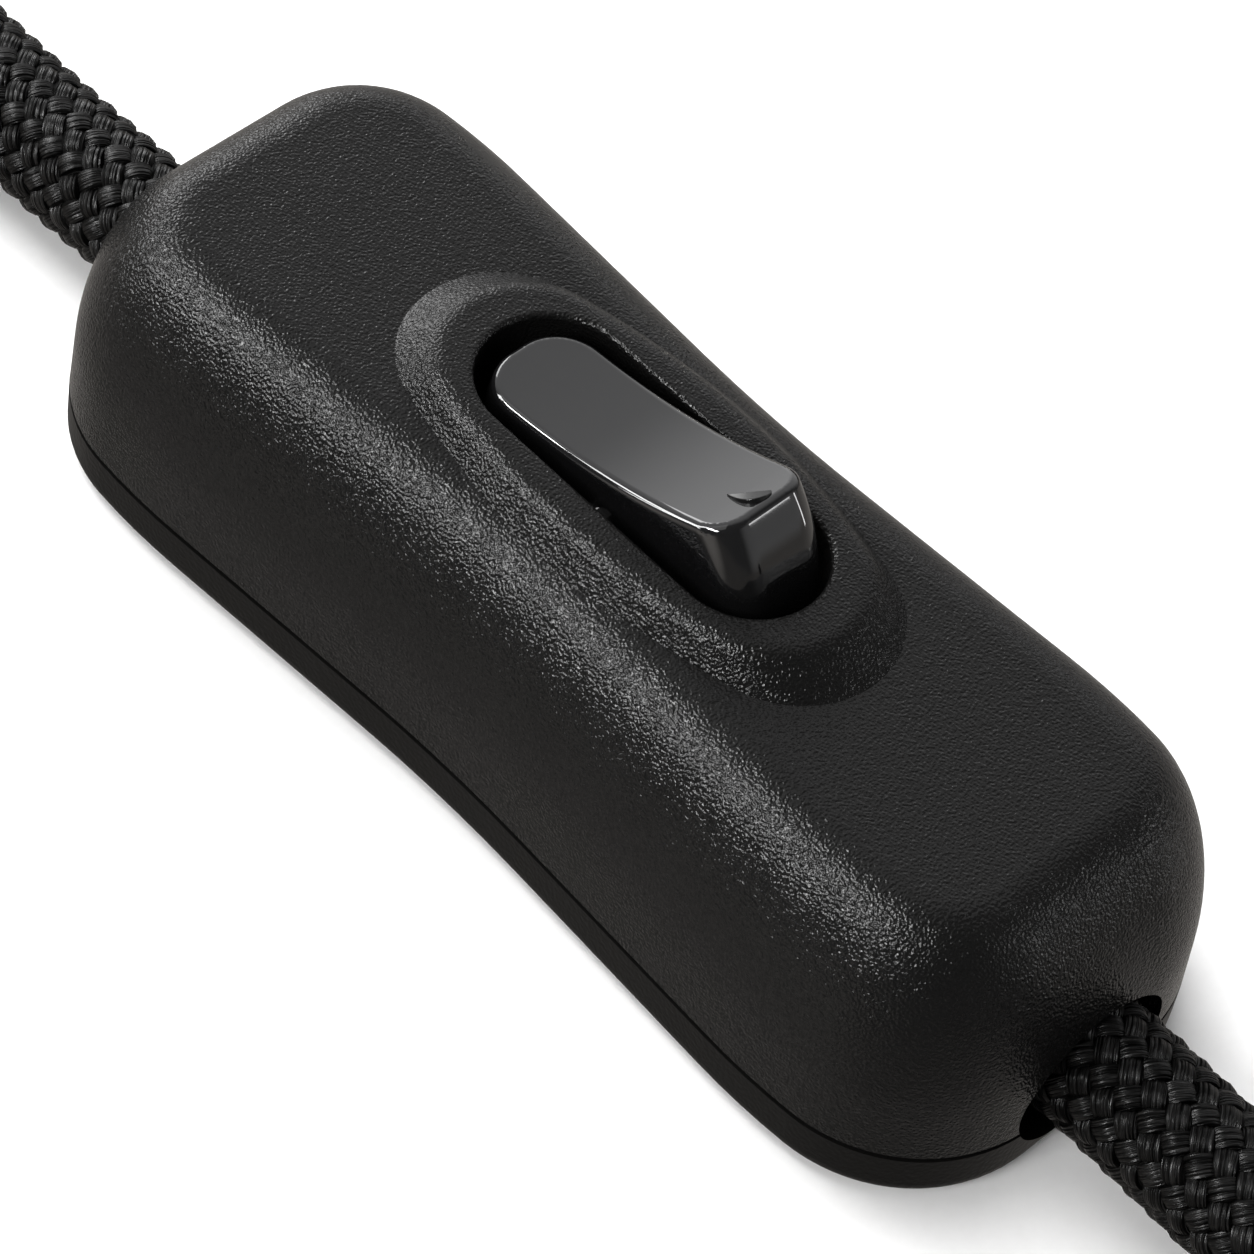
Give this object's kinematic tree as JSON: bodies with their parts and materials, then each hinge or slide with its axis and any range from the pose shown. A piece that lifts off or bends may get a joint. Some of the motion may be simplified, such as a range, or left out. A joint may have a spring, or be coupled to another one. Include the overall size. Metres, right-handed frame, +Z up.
{
  "type": "inline cord switch",
  "caption": "Waisted two-part inline switch for a lamp cord, with a dished rocker in a raised collar and a braided lead at each end, one with a flat plug and one with bare wires.",
  "frame": {"origin": "underside of the base, below the middle of the casing", "axes": "+X along the casing towards the supply lead, +Z up through the rocker"},
  "size_m": [0.2598, 0.1825, 0.0218],
  "materials": {
    "casing_plastic": "fine leather-like grain",
    "base_plastic": "satin",
    "rocker_plastic": "high gloss",
    "plunger_plastic": "natural",
    "steel": "zinc plated",
    "bronze": "rolled",
    "brass": "machined",
    "silver": "bright",
    "copper": "bare strands",
    "live_insulation": "satin",
    "neutral_insulation": "satin",
    "cord_textile": "braided multifilament yarn",
    "tie_strap": "woven strap",
    "plug_plastic": "satin",
    "pin_metal": "nickel plated",
    "end_sleeve": "shrunk film",
    "ferrule_metal": "tinned"
  },
  "bodies": {
    "casing": {"upper_housing": "casing_plastic", "base_cover": "base_plastic", "common_terminal": "brass", "switched_terminal": "brass", "fixed_contact": "silver", "neutral_link": "brass", "terminal_screws": "steel", "casing_screws": "steel", "supply_cord_clamp": "base_plastic", "lamp_cord_clamp": "base_plastic", "clamp_screws": "steel", "supply_live_core": "live_insulation", "supply_live_copper": "copper", "supply_neutral_core": "neutral_insulation", "supply_neutral_copper": "copper", "lamp_live_core": "live_insulation", "lamp_live_copper": "copper", "lamp_neutral_core": "neutral_insulation", "lamp_neutral_copper": "copper", "supply_cord": "cord_textile", "lamp_cord": "cord_textile", "supply_coil": "cord_textile", "lamp_coil": "cord_textile", "supply_coil_tie": "tie_strap", "lamp_coil_tie": "tie_strap", "supply_tail": "cord_textile", "lamp_tail": "cord_textile", "plug_strain_relief": "plug_plastic", "plug_body": "plug_plastic", "plug_pins": "pin_metal", "lamp_end_sleeve": "end_sleeve", "lamp_end_live_core": "live_insulation", "lamp_end_neutral_core": "neutral_insulation", "lamp_end_ferrules": "ferrule_metal"},
    "rocker": {"rocker": "rocker_plastic", "plunger_spring": "steel"},
    "plunger": {"plunger": "plunger_plastic"},
    "contact_arm": {"contact_arm": "bronze", "moving_contact": "silver"}
  },
  "joints": [
    {"name": "rocker_press", "type": "hinge", "parent": "casing", "child": "rocker", "pos_m": [0, 0, 0.0148], "axis": [0, 1, 0], "range_deg": [0, 28]},
    {"name": "plunger_slide", "type": "slide", "parent": "rocker", "child": "plunger", "axis": [-0.2419, 0, 0.9703], "range_m": [0, 0.0005], "stiffness_N_per_m": 400, "deforming": ["plunger_spring"]},
    {"name": "contact_tip", "type": "hinge", "parent": "casing", "child": "contact_arm", "pos_m": [0, 0, 0.0074], "axis": [0, 1, 0], "range_deg": [-12, 0]}
  ],
  "couplings": [
    {"joint": "contact_tip", "follows": "rocker_press", "ratio": -0.42857}
  ]
}
